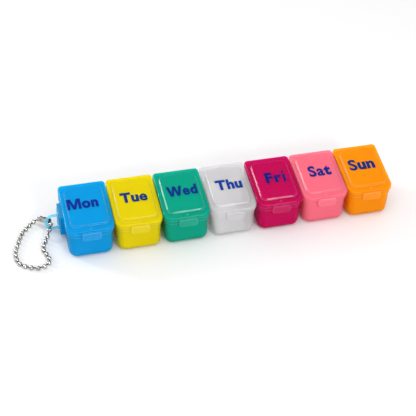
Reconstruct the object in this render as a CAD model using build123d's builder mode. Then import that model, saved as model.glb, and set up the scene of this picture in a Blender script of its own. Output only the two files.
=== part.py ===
import os
from math import atan2, degrees, radians, tan

from build123d import *

os.makedirs("parts", exist_ok=True)

# A week of pill boxes, millimetres. X runs along the row, Y to the hinges, Z up.
# The origin is the centre of the underside of the middle box.
days = ["mon", "tue", "wed", "thu", "fri", "sat", "sun"]

# Row and box sizes.
pitch = 25.0  # centre to centre of neighbouring boxes
lid_gap = 0.4  # free space between neighbouring lids
box_depth = 32.0  # front to back over the lid's rim
cup_height = 16.6  # table to the rim that the lid closes on
overhang = 0.65  # lid's rim past the cup's wall, on every side
draft = 1.5  # degrees that the cup's walls lean in towards the floor
cup_wall = 1.2
cup_corner = 4.6
floor_fillet = 3.6
floor_chamfer = 1.0  # inside the cup, under the cavity's walls
collar_height = 2.2  # thicker band round the cup's rim
collar_step = 0.3

# Lid sizes.
lid_front = 1.8  # height of the lid's front edge over the cup's rim
lid_rise = 5.8  # how much higher the lid's back edge is than its front edge
lid_wall = 1.1
lid_front_corner = 4.5
lid_back_corner = 2.0
lid_edge = 0.8  # rounding of the lid's top edge
panel_margin = 2.3  # flat border at the sides of the raised panel
panel_front_margin = 3.4
panel_back_margin = 2.8
panel_rise = 0.8
panel_corner = 3.0
panel_bevel = 0.5
skirt_wall = 0.8  # sealing skirt that drops inside the cup
skirt_depth = 1.2
seat_gap = 0.05  # between the lid and the cup's rim
skirt_gap = 0.2

# Thumb tab on the lid's front.
tab_width = 10.0
tab_drop = 3.8
tab_thickness = 1.0
tab_corner = 1.6
tab_bevel = 0.3
tab_gap = 0.35  # from the collar to the tab
catch_height = 0.8
catch_gap = 0.05  # from the collar to the catch rib

# Living hinge at the back: two strips, each one leaf on the cup and one on the lid.
hinge_reach = 0.5  # fold line behind the lid's back
leaf_width = 6.0
leaf_spacing = 12.0
leaf_thickness = 0.4
leaf_gap = 0.02  # between two closed leaves, on each side of the fold

# Coupling rails: a channel on each box's left side takes the next box's T-rail.
rail_bottom = 2.8
rail_top = 14.2
rail_gap = 0.08  # running clearance across the T-rail
rail_wall = 0.5  # thickness of the T-rail's head and of the channel's lips
hook_wall = 1.2
head_width = 9.4
stem_width = 5.0
side_gap = 0.15  # running clearance beside the T-rail
stop_height = 1.0  # floor of the channel, which carries the T-rail
head_clear = 0.2  # rail's top below the channel's top
recess_gap = 0.12  # from the channel's lips to the neighbour's wall
lid_clear = 0.05  # channel's back past the lid's side
channel_corner = 0.4

# Key loop that slides into the first box's channel.
ring_radius = 4.8
ring_bar = 1.3
ring_width = 1.4
ring_reach = 2.7  # ring's centre outside the channel's lips
ring_height = 7.2
ring_bevel = 0.3
foot_thickness = 0.6  # plate between the T-rail and the ring

# Ball chain.
bead_radius = 1.2
bead_flat = 1.13  # centre of a bead to the flat that a link leaves from
bead_count = 27
link_radius = 0.32
sleeve_wall = 0.25
sleeve_gap = 0.1
sleeve_end = 0.95  # hole in the sleeve's end, smaller than a bead
sleeve_slot = 1.0
route_steps = [  # X and Y from the ring's centre, Z over the table
    (-1.5, 0.1, 5.6),
    (-2.7, 2.9, 5.9),
    (-5.1, 5.3, 5.4),
    (-7.2, 8.0, 3.6),
    (-9.8, 8.6, 1.5),
    (-12.8, 5.8, 1.2),
    (-16.2, 1.8, 1.2),
    (-18.6, -3.7, 1.2),
    (-20.8, -9.5, 1.2),
    (-21.9, -16.0, 1.2),
    (-20.2, -22.2, 1.2),
    (-15.7, -25.4, 1.2),
    (-10.3, -26.6, 1.2),
    (-6.3, -24.0, 1.2),
    (-6.0, -19.0, 1.2),
    (-7.5, -13.9, 1.2),
    (-6.4, -9.0, 1.2),
    (-4.5, -5.2, 1.3),
    (-3.0, -2.6, 3.2),
]

# Sizes that follow from those above.
lid_width = pitch - lid_gap
wall_width = lid_width - 2 * overhang
wall_depth = box_depth - 2 * overhang
collar_width = wall_width + 2 * collar_step
collar_depth = wall_depth + 2 * collar_step
cavity_width = wall_width - 2 * cup_wall
cavity_depth = wall_depth - 2 * cup_wall
cavity_corner = cup_corner - cup_wall
skirt_width = cavity_width - 2 * skirt_gap
skirt_length = cavity_depth - 2 * skirt_gap
seam_width = wall_width - cup_wall
seam_depth = wall_depth - cup_wall
panel_width = lid_width - 2 * panel_margin
panel_depth = box_depth - panel_front_margin - panel_back_margin
panel_middle = panel_front_margin + panel_depth / 2
lean = tan(radians(draft))
lid_base = cup_height + seat_gap
hinge_y = box_depth / 2 + hinge_reach
first_x = -pitch * (len(days) - 1) / 2
rail_y = box_depth / 4  # rails lie behind the middle of the side

# Distances from a box's centre plane to the faces of its channel and T-rail.
channel_back = lid_width / 2 + lid_clear
head_inner = channel_back + rail_gap
head_outer = head_inner + rail_wall
lip_inner = head_outer + rail_gap
lip_outer = lip_inner + rail_wall
rail_foot = seam_width / 2 - cup_height * lean / 2
recess_x = pitch - lip_outer - recess_gap
channel_width = head_width + 2 * side_gap
channel_outside = channel_width + 2 * hook_wall
head_start = pitch - head_outer
stop_top = rail_bottom + stop_height
head_bottom = stop_top + rail_gap
head_top = rail_top - head_clear

# The lid's top slopes up to the hinge, and the lid is hollow under it.
slope = degrees(atan2(lid_rise, box_depth))
top_plane = Plane(
    origin=(0, -box_depth / 2, cup_height + lid_front), x_dir=(1, 0, 0), z_dir=(0, 0, 1)
).rotated((slope, 0, 0))


def lid_outline(inset):
    """Outline of the lid, inset on every side."""
    with BuildSketch() as outline:
        Rectangle(lid_width - 2 * inset, box_depth - 2 * inset)
        fillet(outline.vertices().group_by(Axis.Y)[0], lid_front_corner - inset)
        fillet(outline.vertices().group_by(Axis.Y)[-1], lid_back_corner - inset)
    return outline.sketch


with BuildPart() as cavity:
    with BuildSketch(Plane.XY.offset(cup_height)):
        RectangleRounded(cavity_width, cavity_depth, cavity_corner)
    extrude(amount=cup_wall - cup_height, taper=draft)
    chamfer(cavity.edges().group_by(Axis.Z)[0], floor_chamfer)

with BuildPart() as cup:
    with BuildSketch(Plane.XY.offset(cup_height)):
        RectangleRounded(wall_width, wall_depth, cup_corner)
    extrude(amount=-cup_height, taper=draft)
    fillet(cup.edges().group_by(Axis.Z)[0], floor_fillet)
    add(cavity.part, mode=Mode.SUBTRACT)
    with BuildSketch(Plane.XY.offset(cup_height - collar_height)):
        RectangleRounded(collar_width, collar_depth, cup_corner + collar_step)
        RectangleRounded(seam_width, seam_depth, cup_corner - cup_wall / 2, mode=Mode.SUBTRACT)
    extrude(amount=collar_height)
    # Shallow recess that leaves room for the neighbour's channel.
    with BuildSketch(Plane.XY):
        with Locations((recess_x, rail_y)):
            Rectangle(pitch, channel_outside + 2 * side_gap, align=(Align.MIN, Align.CENTER))
    extrude(amount=cup_height - collar_height, mode=Mode.SUBTRACT)
    # T-rail on the right.
    with BuildSketch(Plane.XY.offset(head_bottom)):
        with Locations((rail_foot, rail_y)):
            Rectangle(head_start + rail_wall / 2 - rail_foot, stem_width, align=(Align.MIN, Align.CENTER))
        with Locations((head_start, rail_y)):
            Rectangle(rail_wall, head_width, align=(Align.MIN, Align.CENTER))
    extrude(amount=head_top - head_bottom)
    # Channel on the left, closed at the bottom.
    with BuildSketch(Plane.XY.offset(rail_bottom)) as block:
        with Locations((-rail_foot, rail_y)):
            Rectangle(lip_outer - rail_foot, channel_outside, align=(Align.MAX, Align.CENTER))
        fillet(block.vertices().group_by(Axis.X)[0], channel_corner)
    extrude(amount=rail_top - rail_bottom)
    with BuildSketch(Plane.XY.offset(stop_top)):
        with Locations((-channel_back, rail_y)):
            Rectangle(lip_inner - channel_back, channel_width, align=(Align.MAX, Align.CENTER))
            Rectangle(pitch, stem_width + 2 * side_gap, align=(Align.MAX, Align.CENTER))
    extrude(amount=rail_top - stop_top, mode=Mode.SUBTRACT)
    # Cup's leaves of the living hinge.
    with BuildSketch(Plane.XY.offset(cup_height - leaf_gap)):
        with Locations(*[(side * leaf_spacing / 2, hinge_y) for side in (-1, 1)]):
            Rectangle(leaf_width, hinge_reach + overhang + cup_wall / 2, align=(Align.CENTER, Align.MAX))
    extrude(amount=-leaf_thickness)

with BuildPart() as lid_hollow:
    with BuildSketch(Plane.XY.offset(lid_base)):
        add(lid_outline(lid_wall))
    extrude(amount=lid_front + lid_rise)
    split(bisect_by=top_plane.offset(-lid_wall), keep=Keep.BOTTOM)

with BuildPart() as skirt:
    with BuildSketch(Plane.XY.offset(cup_height - skirt_depth)):
        RectangleRounded(skirt_width, skirt_length, cavity_corner - skirt_gap)
        offset(amount=-skirt_wall, mode=Mode.SUBTRACT)
    extrude(amount=skirt_depth + lid_front + lid_rise)
    split(bisect_by=top_plane.offset(-lid_wall / 2), keep=Keep.BOTTOM)

with BuildPart() as lid:
    with BuildSketch(Plane.XY.offset(lid_base)):
        add(lid_outline(0))
    extrude(amount=lid_front + lid_rise)
    split(bisect_by=top_plane, keep=Keep.BOTTOM)
    fillet(lid.faces().sort_by(Axis((0, 0, 0), top_plane.z_dir))[-1].edges(), lid_edge)
    add(lid_hollow.part, mode=Mode.SUBTRACT)
    add(skirt.part)
    # Raised panel that carries the day's name.
    with BuildSketch(top_plane.offset(-panel_rise)):
        with Locations((0, panel_middle)):
            RectangleRounded(panel_width, panel_depth, panel_corner)
    extrude(amount=2 * panel_rise)
    chamfer(lid.faces().sort_by(Axis((0, 0, 0), top_plane.z_dir))[-1].edges(), panel_bevel)
    # The underside follows the panel, so that the wall keeps its thickness.
    with BuildSketch(top_plane.offset(-lid_wall)):
        with Locations((0, panel_middle)):
            RectangleRounded(
                panel_width - 2 * lid_wall, panel_depth - 2 * lid_wall, panel_corner - lid_wall
            )
    extrude(amount=panel_rise, mode=Mode.SUBTRACT)
    # Thumb tab with its catch rib.
    tab_face = collar_depth / 2 + tab_gap
    with BuildSketch(Plane.XZ.offset(tab_face)) as tab:
        with Locations((0, cup_height + lid_front / 2)):
            Rectangle(tab_width, tab_drop + lid_front / 2, align=(Align.CENTER, Align.MAX))
        fillet(tab.vertices().group_by(Axis.Z)[0], tab_corner)
    extrude(amount=tab_thickness)
    chamfer(lid.faces().sort_by(Axis.Y)[0].edges(), tab_bevel)
    with BuildSketch(Plane.XZ.offset(tab_face - tab_gap + catch_gap)):
        with Locations((0, cup_height - collar_height)):
            Rectangle(tab_width - 2 * tab_corner, catch_height, align=(Align.CENTER, Align.MAX))
    extrude(amount=tab_gap)
    # Lid's leaves of the living hinge.
    with BuildSketch(Plane.XY.offset(cup_height + leaf_gap)):
        with Locations(*[(side * leaf_spacing / 2, hinge_y) for side in (-1, 1)]):
            Rectangle(leaf_width, hinge_reach + lid_wall / 2, align=(Align.CENTER, Align.MAX))
    extrude(amount=leaf_thickness)

for index, day in enumerate(days):
    box_x = first_x + index * pitch
    for name, piece in (("cup", cup), ("lid", lid)):
        with BuildPart() as placed:
            with Locations((box_x, 0, 0)):
                add(piece.part)
        placed.part.label = f"{name}_{day}"
        export_step(placed.part, f"parts/{name}_{day}.step")

# Key loop: a T-rail like a box's, with a D-shaped ring outside it.
lip_x = first_x - lip_outer
ring_x = lip_x - ring_reach
ring_plane = Plane(origin=(ring_x, rail_y, ring_height), x_dir=(1, 0, 0), z_dir=(0, -1, 0))
with BuildPart() as key_loop:
    with BuildSketch(Plane.XY.offset(head_bottom)):
        with Locations((first_x - head_inner, rail_y)):
            Rectangle(rail_wall, head_width, align=(Align.MAX, Align.CENTER))
            Rectangle(lip_outer + foot_thickness - head_inner, stem_width, align=(Align.MAX, Align.CENTER))
    extrude(amount=head_top - head_bottom)
    with BuildSketch(ring_plane) as ring:
        for radius, reach, mode in (
            (ring_radius, ring_reach, Mode.ADD),
            (ring_radius - ring_bar, ring_reach - foot_thickness, Mode.SUBTRACT),
        ):
            with BuildSketch(mode=Mode.PRIVATE) as d_shape:
                Circle(radius)
                Rectangle(2 * radius, 2 * radius, align=(Align.MIN, Align.CENTER), mode=Mode.SUBTRACT)
                Rectangle(reach, 2 * radius, align=(Align.MIN, Align.CENTER))
            add(d_shape.sketch, mode=mode)
    extrude(amount=ring_width / 2, both=True)
    chamfer(key_loop.edges().filter_by(GeomType.CIRCLE), ring_bevel)
key_loop.part.label = "key_loop"
export_step(key_loop.part, "parts/key_loop.step")

# Ball chain: beads at equal steps along a closed route, none below the table.
ring_centre = Vector(ring_x, rail_y, 0)
route = Spline(*[ring_centre + Vector(step) for step in route_steps], periodic=True)
centres = []
for number in range(bead_count):
    spot = route.position_at(number / bead_count)
    centres.append(Vector(spot.X, spot.Y, max(spot.Z, bead_radius)))
steps = [(centres[(n + 1) % bead_count] - centre) for n, centre in enumerate(centres)]
print("bead steps", min(step.length for step in steps), max(step.length for step in steps))

for number, centre in enumerate(centres):
    ahead = steps[number].normalized()
    behind = steps[number - 1].normalized() * -1
    across = ahead.cross(Vector(0, 0, 1)).normalized()
    # The sphere's own axis lies across the chain, away from both flats.
    with BuildPart(Plane(origin=centre, x_dir=across.cross(ahead), z_dir=across)) as bead:
        Sphere(bead_radius)
        for way in (ahead, behind):
            split(bisect_by=Plane(origin=centre + way * bead_flat, z_dir=way), keep=Keep.BOTTOM)
    bead.part.label = f"bead_{number + 1:02d}"
    export_step(bead.part, f"parts/bead_{number + 1:02d}.step")

with BuildPart() as links:
    for centre, step in zip(centres, steps):
        way = step.normalized()
        with BuildSketch(Plane(origin=centre + way * bead_flat, z_dir=way)):
            Circle(link_radius)
        extrude(amount=step.length - 2 * bead_flat)
links.part.label = "chain_links"
export_step(links.part, "parts/chain_links.step")

# Connector: a slotted sleeve that closes the chain round the second and third beads.
sleeve_start = centres[1]
sleeve_way = steps[1].normalized()
sleeve_radius = bead_radius + sleeve_gap
sleeve_length = steps[1].length
sleeve_plane = Plane(origin=sleeve_start, x_dir=(0, 0, 1), z_dir=sleeve_way)
half_length = bead_radius + sleeve_gap
with BuildPart() as sleeve:
    with BuildSketch(sleeve_plane.offset(-half_length - sleeve_wall)):
        Circle(sleeve_radius + sleeve_wall)
    extrude(amount=sleeve_length + 2 * (half_length + sleeve_wall))
    with BuildSketch(sleeve_plane.offset(-half_length)):
        Circle(sleeve_radius)
    extrude(amount=sleeve_length + 2 * half_length, mode=Mode.SUBTRACT)
    with BuildSketch(sleeve_plane.offset(-half_length - sleeve_wall)):
        Circle(sleeve_end)
        Rectangle(2 * sleeve_radius, sleeve_slot, align=(Align.MIN, Align.CENTER))
    extrude(amount=sleeve_length + 2 * (half_length + sleeve_wall), mode=Mode.SUBTRACT)
sleeve.part.label = "chain_connector"
export_step(sleeve.part, "parts/chain_connector.step")
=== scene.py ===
import math

import bmesh
import bpy
from mathutils import Matrix, Vector
from mathutils.geometry import delaunay_2d_cdt, intersect_point_tri_2d


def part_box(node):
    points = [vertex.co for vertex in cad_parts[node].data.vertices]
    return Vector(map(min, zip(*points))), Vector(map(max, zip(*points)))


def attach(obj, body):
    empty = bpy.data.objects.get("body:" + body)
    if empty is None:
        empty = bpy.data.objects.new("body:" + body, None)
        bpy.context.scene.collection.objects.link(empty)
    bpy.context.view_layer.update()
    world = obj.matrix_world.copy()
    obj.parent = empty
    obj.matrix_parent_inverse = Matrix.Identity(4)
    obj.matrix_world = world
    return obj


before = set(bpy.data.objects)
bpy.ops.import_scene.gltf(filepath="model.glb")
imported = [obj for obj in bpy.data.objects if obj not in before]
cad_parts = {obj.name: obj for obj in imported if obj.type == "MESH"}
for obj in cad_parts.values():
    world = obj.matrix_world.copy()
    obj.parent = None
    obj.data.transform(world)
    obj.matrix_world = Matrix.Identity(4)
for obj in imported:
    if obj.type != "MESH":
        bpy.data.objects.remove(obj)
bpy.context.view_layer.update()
mm = 0.001
days = ["mon", "tue", "wed", "thu", "fri", "sat", "sun"]
print("frame loaded:", len(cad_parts), "nodes")


# ---- shader graphs ----

class Wire:
    # a socket that takes + - * as Math nodes
    def __init__(self, graph, socket):
        self.graph = graph
        self.socket = socket

    def join(self, operation, first, second):
        return self.graph.add("ShaderNodeMath", {"operation": operation}, {0: first, 1: second})

    def __add__(self, other):
        return self.join("ADD", self, other)

    def __radd__(self, other):
        return self.join("ADD", other, self)

    def __rsub__(self, other):
        return self.join("SUBTRACT", other, self)

    def __mul__(self, other):
        return self.join("MULTIPLY", self, other)

    def __rmul__(self, other):
        return self.join("MULTIPLY", other, self)


class Graph:
    # the nodes of one material or world
    def __init__(self, owner):
        owner.use_nodes = True
        self.owner = owner
        self.tree = owner.node_tree
        self.tree.nodes.clear()

    def feed(self, socket, value):
        if isinstance(value, Wire):
            self.tree.links.new(value.socket, socket)
        else:
            socket.default_value = value

    def add(self, kind, settings=None, inputs=None, output=0):
        node = self.tree.nodes.new(kind)
        for key, value in (settings or {}).items():
            setattr(node, key, value)
        for key, value in (inputs or {}).items():
            self.feed(node.inputs[key], value)
        return Wire(self, node.outputs[output]) if node.outputs else node

    def place(self, scale=(1, 1, 1)):
        coords = self.add("ShaderNodeTexCoord", output="Object")
        return self.add("ShaderNodeMapping", None, {"Vector": coords, "Scale": scale})

    def noise(self, vector, size, detail, roughness=0.5):
        # size is in cells per metre
        inputs = {"Vector": vector, "Scale": size, "Detail": detail, "Roughness": roughness}
        return self.add("ShaderNodeTexNoise", None, inputs)

    def band(self, value, low, high):
        # 0 below low, 1 above high, smooth between
        inputs = {"Value": value, "From Min": low, "From Max": high}
        return self.add("ShaderNodeMapRange", {"interpolation_type": "SMOOTHSTEP"}, inputs)

    def mix(self, mask, first, second):
        inputs = {0: mask, 6: first, 7: second}
        return self.add("ShaderNodeMix", {"data_type": "RGBA"}, inputs, output=2)

    def edges(self, reach, samples, low, high):
        # 1 on edges and small corners, 0 on open faces
        turned = self.add("ShaderNodeBevel", {"samples": samples}, {"Radius": reach})
        facing = self.add("ShaderNodeNewGeometry", output="True Normal")
        product = {"operation": "DOT_PRODUCT"}
        lean = self.add("ShaderNodeVectorMath", product, {0: turned, 1: facing}, output="Value")
        return self.band(1 - lean, low, high)

    def bump(self, height):
        # height in metres
        inputs = {"Height": height, "Strength": 1.0, "Distance": 1.0}
        return self.add("ShaderNodeBump", None, inputs)

    def principled(self, **sockets):
        inputs = {name.replace("_", " "): value for name, value in sockets.items()}
        return self.add("ShaderNodeBsdfPrincipled", None, inputs)

    def surface(self, shader):
        self.add("ShaderNodeOutputMaterial", None, {"Surface": shader})
        return self.owner


def shade(colour, factor=1):
    # a colour with its alpha, made lighter or darker
    return (*[min(1.0, part * factor) for part in colour], 1.0)


def linear(*parts):
    # 0-255 display colour to scene colour
    return tuple(
        ((part / 255 + 0.055) / 1.055) ** 2.4 if part > 10 else part / 255 / 12.92 for part in parts
    )


def between(ends, mask):
    # a number that runs from the first end to the second with the mask
    return ends[0] + (ends[1] - ends[0]) * mask


# ---- finishes ----

plastics = {
    "mon": dict(colour=linear(0, 172, 230), clear=0.5),
    "tue": dict(colour=linear(236, 219, 0), clear=0.5),
    "wed": dict(colour=linear(0, 180, 152), clear=0.5),
    "thu": dict(colour=linear(229, 228, 229), clear=0.72),
    "fri": dict(colour=linear(208, 0, 100), clear=0.5),
    "sat": dict(colour=linear(255, 131, 153), clear=0.5),
    "sun": dict(colour=linear(255, 165, 0), clear=0.5),
    "loop": dict(colour=linear(130, 222, 250), clear=0.65),
}
moulding = dict(
    cloud=dict(size=70, detail=2.0), cloudTone=0.04,  # slow drift of the pigment
    grain=dict(size=1100, detail=2.0), grainDepth=0.0006 * mm,  # fine spark-eroded grain
    wave=dict(size=130, detail=1.0), waveDepth=0.006 * mm,  # slight sink of the walls
    smudge=dict(size=220, detail=4.0, roughness=0.6), smudgeBand=(0.42, 0.68), gloss=(0.1, 0.2),
    edge=dict(reach=0.45 * mm, samples=4, low=0.02, high=0.2), paintedEdgeHighlight=0.7,  # painted highlight: the edges are mixed towards a paler colour
    lipBand=(16.35 * mm, 16.45 * mm), paintedLipHighlight=0.08,  # painted highlight in the thumb tabs too, in front of the boxes
    highlightPaleness=0.35, highlightWhite=0.4,  # how pale the painted highlight is, standing for light gathered in the edges
    index=1.49, shine=0.26, scatter=0.7, spread=2 * mm,
    tint=0.36,  # share of the colour that light takes on at each of a wall's two faces
)
inkLook = dict(
    thick=linear(0, 16, 98), thin=linear(6, 32, 120),
    through=(0.002, 0.032, 0.135),  # share of the lid's own colour that comes up through the film
    worn=dict(size=900, detail=3.0), wornBand=(0.5, 0.72), wornShare=0.35,
    film=dict(size=2600, detail=2.0), filmDepth=0.002 * mm, gloss=(0.32, 0.42), shine=0.1,
)
metalLook = dict(
    # the links' dark colour is painted shade, darker than the beads' plate
    plate=linear(226, 222, 214), paintedLinkShade=linear(54, 51, 47),
    film=dict(size=420, detail=4.0, roughness=0.6), filmBand=(0.4, 0.7), filmTone=0.62,
    gloss=(0.08, 0.2),
    scratch=dict(size=1900, detail=2.0), scratchDepth=0.001 * mm, stretch=(1, 1, 6),
)


def plasticMaterial(name, colour, clear):
    graph = Graph(bpy.data.materials.new(name))
    spot = graph.place()
    cloud = graph.noise(spot, **moulding["cloud"])
    drift = moulding["cloudTone"]
    tone = graph.mix(cloud, shade(colour, 1 - drift), shade(colour, 1 + drift))
    # painted highlight: a paler colour is mixed in on the edges and small corners
    edgeHighlightMask = graph.edges(**moulding["edge"])
    depth = graph.add("ShaderNodeSeparateXYZ", None, {"Vector": spot}, output="Y")
    # painted highlight: the thumb tabs are also mixed towards the paler colour
    lipHighlightMask = graph.band(0 - depth, *moulding["lipBand"])
    highlightWhite = moulding["highlightWhite"]
    paintedHighlightColour = [(1 - highlightWhite) * part ** moulding["highlightPaleness"] + highlightWhite for part in colour]
    tone = graph.mix(edgeHighlightMask * moulding["paintedEdgeHighlight"] + lipHighlightMask * moulding["paintedLipHighlight"], tone, shade(paintedHighlightColour))
    smudge = graph.band(graph.noise(spot, **moulding["smudge"]), *moulding["smudgeBand"])
    grain = graph.noise(spot, **moulding["grain"])
    wave = graph.noise(spot, **moulding["wave"])
    height = grain * moulding["grainDepth"] + wave * moulding["waveDepth"]
    body = graph.principled(
        Base_Color=tone,
        Roughness=between(moulding["gloss"], smudge),
        Normal=graph.bump(height),
        IOR=moulding["index"],
        Specular_IOR_Level=moulding["shine"],
        Subsurface_Weight=moulding["scatter"],
        Subsurface_Radius=(1, 1, 1),
        Subsurface_Scale=moulding["spread"],
    )
    tint = shade([part ** moulding["tint"] for part in colour])
    through = graph.add("ShaderNodeBsdfTransparent", None, {"Color": tint})
    return graph.surface(graph.add("ShaderNodeMixShader", None, {0: clear, 1: body, 2: through}))


def inkMaterial(day):
    under = [share * part for share, part in zip(inkLook["through"], plastics[day]["colour"])]
    thick, thin = (shade([a + b for a, b in zip(inkLook[key], under)]) for key in ("thick", "thin"))
    graph = Graph(bpy.data.materials.new("printedInk" + day.capitalize()))
    spot = graph.place()
    worn = graph.band(graph.noise(spot, **inkLook["worn"]), *inkLook["wornBand"])
    film = graph.noise(spot, **inkLook["film"])
    return graph.surface(graph.principled(
        Base_Color=graph.mix(worn * inkLook["wornShare"], thick, thin),
        Roughness=between(inkLook["gloss"], film),
        Specular_IOR_Level=inkLook["shine"],
        Normal=graph.bump(film * inkLook["filmDepth"]),
    ))


def metalMaterial(name, colour):
    graph = Graph(bpy.data.materials.new(name))
    film = graph.band(graph.noise(graph.place(), **metalLook["film"]), *metalLook["filmBand"])
    scratch = graph.noise(graph.place(scale=metalLook["stretch"]), **metalLook["scratch"])
    return graph.surface(graph.principled(
        Base_Color=graph.mix(film, shade(colour), shade(colour, metalLook["filmTone"])),
        Metallic=1.0,
        Roughness=between(metalLook["gloss"], film),
        Normal=graph.bump(scratch * metalLook["scratchDepth"]),
    ))


def dress(node, material):
    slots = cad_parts[node].data.materials
    slots.clear()
    slots.append(material)


skins = {
    name: plasticMaterial("plastic" + name.capitalize(), **look) for name, look in plastics.items()
}
inks = {day: inkMaterial(day) for day in days}
beadPlate = metalMaterial("nickelPlate", metalLook["plate"])
# painted shade: the links between the beads get a darker nickel, standing for the shade in their
# recesses
linkPaintedShadePlate = metalMaterial("nickelPaintedShade", metalLook["paintedLinkShade"])
for day in days:
    dress("cup_" + day, skins[day])
    dress("lid_" + day, skins[day])
dress("key_loop", skins["loop"])
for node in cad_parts:
    if node.startswith(("bead_", "chain_")):
        dress(node, linkPaintedShadePlate if node == "chain_links" else beadPlate)
print("finishes on the frame's nodes")


# ---- day names ----

lettering = dict(
    gap=0.06,  # between two letters, in cap heights
    kern={"Tu": -0.05, "We": -0.05, "Fr": 0.04, "ri": 0.03, "at": -0.05},  # added to the gap
    fontCap=0.682,  # cap height of the built-in font at size 1
    bold=dict(rest=0.05, S=0.034, e=0.03, a=0.03),  # growth of its strokes, at size 1
    curveSteps=6,
    weld=1e-5,  # points closer than this are one, at size 1
    least=1e-6,  # distances and areas under this are nothing, in cap heights
    short=5e-4,  # edges under this are closed up, in cap heights
    lift=0.01 * mm,  # ink's underside over the panel
    film=0.03 * mm,  # thickness of the ink
    # in mm: the word's middle from the lid's, its foot from the lid's front edge, and its size
    middles=dict(mon=-1.5, tue=-0.05, wed=0.45, thu=0.6, fri=1.1, sat=0.9, sun=-0.15),
    baselines=dict(mon=14.65, tue=14.3, wed=14.1, thu=13.8, fri=13.9, sat=14.25, sun=14.6),
    widths=dict(mon=16.0, tue=13.9, wed=16.1, thu=14.1, fri=10.9, sat=12.3, sun=14.4),
    heights=dict(mon=6.95, tue=6.75, wed=6.75, thu=6.85, fri=7.35, sat=7.35, sun=7.5),
)
# Left halves of the letters whose strokes can't be grown evenly, in cap heights.
sharpLetters = {
    "M": [
        [(0.6, 0), (0.47, 0), (0.25, 0.68), (0.25, 0), (0, 0), (0, 1), (0.36, 1), (0.6, 0.36)],
    ],
    "W": [
        [(0.71, 0.62), (0.56, 0), (0.27, 0), (0, 1), (0.27, 1), (0.43, 0.38), (0.57, 1), (0.71, 1)],
    ],
    "i": [
        [(0.1, 0), (0, 0), (0, 0.71), (0.1, 0.71)],
        [(0.1, 0.83), (0, 0.83), (0, 1), (0.1, 1)],
    ],
}
lidShape = dict(front=1.8 * mm, rise=5.8 * mm, depth=32.0 * mm, panel=0.8 * mm)


def lidPlane(day, lift):
    # from a flat drawing to the lid's sloping top: x along the row, y up from its front edge
    low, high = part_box("lid_" + day)
    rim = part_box("cup_" + day)[1].z
    slope = math.atan2(lidShape["rise"], lidShape["depth"])
    front = Vector(((low.x + high.x) / 2, -lidShape["depth"] / 2, rim + lidShape["front"]))
    tilt = Matrix.Rotation(slope, 4, "X")
    return Matrix.Translation(front) @ tilt @ Matrix.Translation((0, 0, lift))


def sharpLetter(letter):
    # each half outline starts on the mirror line
    shape = bmesh.new()
    for half in sharpLetters[letter]:
        middle = half[0][0]
        outline = half + [(2 * middle - x, y) for x, y in reversed(half) if x < middle]
        shape.faces.new([shape.verts.new((x, y, 0)) for x, y in outline])
    bmesh.ops.triangulate(shape, faces=shape.faces)
    return shape


def fontLetter(letter):
    curve = bpy.data.curves.new("letter", "FONT")
    curve.body = letter
    curve.offset = lettering["bold"].get(letter, lettering["bold"]["rest"])
    curve.resolution_u = lettering["curveSteps"]
    grown = curve.offset
    source = bpy.data.objects.new("letter", curve)
    bpy.context.collection.objects.link(source)
    bpy.context.view_layer.update()
    shape = bmesh.new()
    shape.from_mesh(bpy.data.meshes.new_from_object(source))
    bpy.data.objects.remove(source)
    bmesh.ops.remove_doubles(shape, verts=shape.verts, dist=lettering["weld"])
    bmesh.ops.translate(shape, verts=shape.verts, vec=(0, grown, 0))
    size = 1 / (lettering["fontCap"] + 2 * grown)
    bmesh.ops.scale(shape, verts=shape.verts, vec=(size, size, size))
    return shape


def flatUnion(shape):
    # grown strokes overlap at a letter's inner corners: the same area again, as one skin
    shape.verts.index_update()
    corners = [v.co.xy for v in shape.verts]
    outline = [[v.index for v in e.verts] for e in shape.edges if e.is_boundary]
    filled = [[v.co.xy for v in f.verts] for f in shape.faces if f.calc_area() > lettering["least"]]
    spots, _, cells, *_ = delaunay_2d_cdt(corners, outline, [], 0, lettering["least"])
    flat = bmesh.new()
    verts = [flat.verts.new((x, y, 0)) for x, y in spots]
    for cell in cells:
        middle = sum((spots[i] for i in cell), Vector((0, 0))) / len(cell)
        if any(intersect_point_tri_2d(middle, *triangle) for triangle in filled):
            flat.faces.new([verts[i] for i in cell])
    bmesh.ops.delete(flat, geom=[v for v in verts if not v.link_faces], context="VERTS")
    bmesh.ops.dissolve_degenerate(flat, edges=flat.edges, dist=lettering["short"])
    bmesh.ops.triangulate(flat, faces=flat.faces)
    shape.free()
    return flat


def makeObject(name, shape, material):
    mesh = bpy.data.meshes.new(name)
    shape.to_mesh(mesh)
    shape.free()
    mesh.materials.append(material)
    item = bpy.data.objects.new(name, mesh)
    bpy.context.collection.objects.link(item)
    return item


def addPiece(name, shape, material, day):
    bmesh.ops.recalc_face_normals(shape, faces=shape.faces)
    item = makeObject(name, shape, material)
    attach(item, "cover_" + day)


def setWord(day):
    # the day's letters side by side, flat and one cap height tall, and the word's width
    word = bmesh.new()
    edge = 0.0
    before = ""
    for letter in day.capitalize():
        shape = sharpLetter(letter) if letter in sharpLetters else fontLetter(letter)
        spread = [v.co.x for v in shape.verts]
        if before:
            edge += lettering["gap"] + lettering["kern"].get(before + letter, 0)
        bmesh.ops.translate(shape, verts=shape.verts, vec=(edge - min(spread), 0, 0))
        edge += max(spread) - min(spread)
        before = letter
        part = bpy.data.meshes.new("letter")
        shape.to_mesh(part)
        shape.free()
        word.from_mesh(part)
    return flatUnion(word), edge


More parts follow.
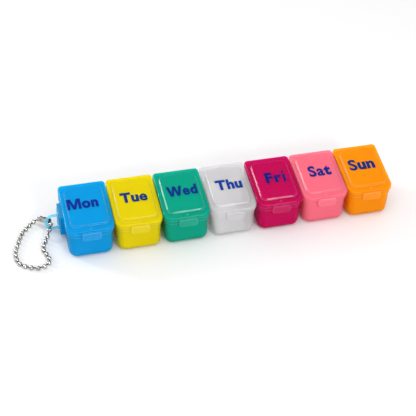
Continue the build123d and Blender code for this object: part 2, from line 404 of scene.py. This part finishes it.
def printDay(day):
    word, width = setWord(day)
    grown = bmesh.ops.extrude_face_region(word, geom=word.faces)["geom"]
    top = [part for part in grown if isinstance(part, bmesh.types.BMVert)]
    bmesh.ops.translate(word, verts=top, vec=(0, 0, 1))
    across, tall = (lettering[key][day] * mm for key in ("widths", "heights"))
    bmesh.ops.translate(word, verts=word.verts, vec=(-width / 2, 0, 0))
    bmesh.ops.scale(word, verts=word.verts, vec=(across / width, tall, lettering["film"]))
    place = (lettering["middles"][day] * mm, lettering["baselines"][day] * mm, 0)
    bmesh.ops.translate(word, verts=word.verts, vec=place)
    plane = lidPlane(day, lidShape["panel"] + lettering["lift"])
    bmesh.ops.transform(word, matrix=plane, verts=word.verts)
    addPiece("print_" + day, word, inks[day], day)


# ---- gate marks ----

gateMark = dict(
    radius=0.62 * mm, height=0.14 * mm, sunk=0.1 * mm, sides=32,
    bevel=0.06 * mm, bevelSteps=3, place=1.75 * mm,  # from the lid's front edge
)


def markGate(day):
    # witness of the mould's gate, between the lid's front edge and its panel
    mark = bmesh.new()
    tall = gateMark["height"] + gateMark["sunk"]
    radius = gateMark["radius"]
    bmesh.ops.create_cone(
        mark, cap_ends=True, segments=gateMark["sides"], radius1=radius, radius2=radius, depth=tall
    )
    rim = [e for e in mark.edges if all(v.co.z > 0 for v in e.verts)]
    bmesh.ops.bevel(
        mark, geom=rim, offset=gateMark["bevel"], affect="EDGES",
        segments=gateMark["bevelSteps"], profile=0.5, material=-1,
    )
    middle = (0, gateMark["place"], tall / 2 - gateMark["sunk"])
    bmesh.ops.translate(mark, verts=mark.verts, vec=middle)
    bmesh.ops.transform(mark, matrix=lidPlane(day, 0), verts=mark.verts)
    addPiece("gate_" + day, mark, skins[day], day)


for day in days:
    printDay(day)
    markGate(day)
print("day names and gate marks added")


# ---- table, light and camera ----

table = dict(
    size=4.0, colour=(0.765, 0.765, 0.77), drift=0.01, cloud=dict(size=12, detail=3.0),
    gloss=(0.55, 0.65), dim=0.35,  # darker where the boxes mirror it
)
lamps = {
    "key": dict(at=(-0.77, 0.56, 0.36), size=0.2, power=3.6),
    "top": dict(at=(-0.1, -0.3, 1.0), size=0.8, power=4.0),
    "front": dict(at=(0.22, -0.84, 0.5), size=0.18, power=3.4),
}
sky = dict(
    rest=0.86, rays={"Is Camera Ray": 1.0, "Is Transmission Ray": 1.0, "Is Glossy Ray": 0.55}
)
shot = dict(
    aim=(0, -1 * mm, 10 * mm), turn=-16.85, rise=40.2, roll=2.9, distance=625.5 * mm,
    lens=102.2, sensor=36, shiftX=-0.0471, shiftY=-0.0088, nearest=10 * mm,
)


def makeTable():
    shape = bmesh.new()
    bmesh.ops.create_grid(shape, x_segments=1, y_segments=1, size=table["size"] / 2)
    graph = Graph(bpy.data.materials.new("paleTable"))
    cloud = graph.noise(graph.place(), **table["cloud"])
    drift = table["drift"]
    tone = graph.mix(cloud, shade(table["colour"], 1 - drift), shade(table["colour"], 1 + drift))
    paper = graph.principled(Base_Color=tone, Roughness=between(table["gloss"], cloud))
    dim = graph.principled(Base_Color=(0, 0, 0, 1), Roughness=1.0, Specular_IOR_Level=0)
    mirrored = graph.add("ShaderNodeLightPath", output="Is Glossy Ray") * table["dim"]
    mixed = graph.add("ShaderNodeMixShader", None, {0: mirrored, 1: paper, 2: dim})
    makeObject("table", shape, graph.surface(mixed))


def makeLights():
    for name, lamp in lamps.items():
        data = bpy.data.lights.new(name, "AREA")
        data.shape = "SQUARE"
        data.size = lamp["size"]
        data.energy = lamp["power"]
        item = bpy.data.objects.new(name, data)
        item.location = lamp["at"]
        item.rotation_euler = (-Vector(lamp["at"])).to_track_quat("-Z", "Y").to_euler()
        bpy.context.collection.objects.link(item)


def makeSky():
    # white where it is seen, softer where it lights or is mirrored
    world = bpy.data.worlds.new("studio")
    bpy.context.scene.world = world
    graph = Graph(world)
    strength = sky["rest"]
    for ray, level in sky["rays"].items():
        strength = strength + graph.add("ShaderNodeLightPath", output=ray) * (level - sky["rest"])
    white = graph.add("ShaderNodeBackground", None, {"Color": (1, 1, 1, 1), "Strength": strength})
    graph.add("ShaderNodeOutputWorld", None, {"Surface": white})


def makeCamera():
    turn, rise, roll = (math.radians(shot[key]) for key in ("turn", "rise", "roll"))
    reach = math.cos(rise)
    back = Vector((math.sin(turn) * reach, -math.cos(turn) * reach, math.sin(rise)))
    right = Vector((math.cos(turn), math.sin(turn), 0))
    up = back.cross(right)
    side = right * math.cos(roll) + up * math.sin(roll)
    top = up * math.cos(roll) - right * math.sin(roll)
    data = bpy.data.cameras.new("camera")
    data.sensor_width = shot["sensor"]
    data.lens = shot["lens"]
    data.shift_x = shot["shiftX"]
    data.shift_y = shot["shiftY"]
    data.clip_start = shot["nearest"]
    item = bpy.data.objects.new("camera", data)
    axes = Matrix((side, top, back)).transposed().to_4x4()
    item.matrix_world = Matrix.Translation(Vector(shot["aim"]) + back * shot["distance"]) @ axes
    bpy.context.collection.objects.link(item)
    bpy.context.scene.camera = item


makeTable()
makeLights()
makeSky()
makeCamera()
bpy.context.scene.view_settings.view_transform = "Standard"
print("table, lights and camera set")
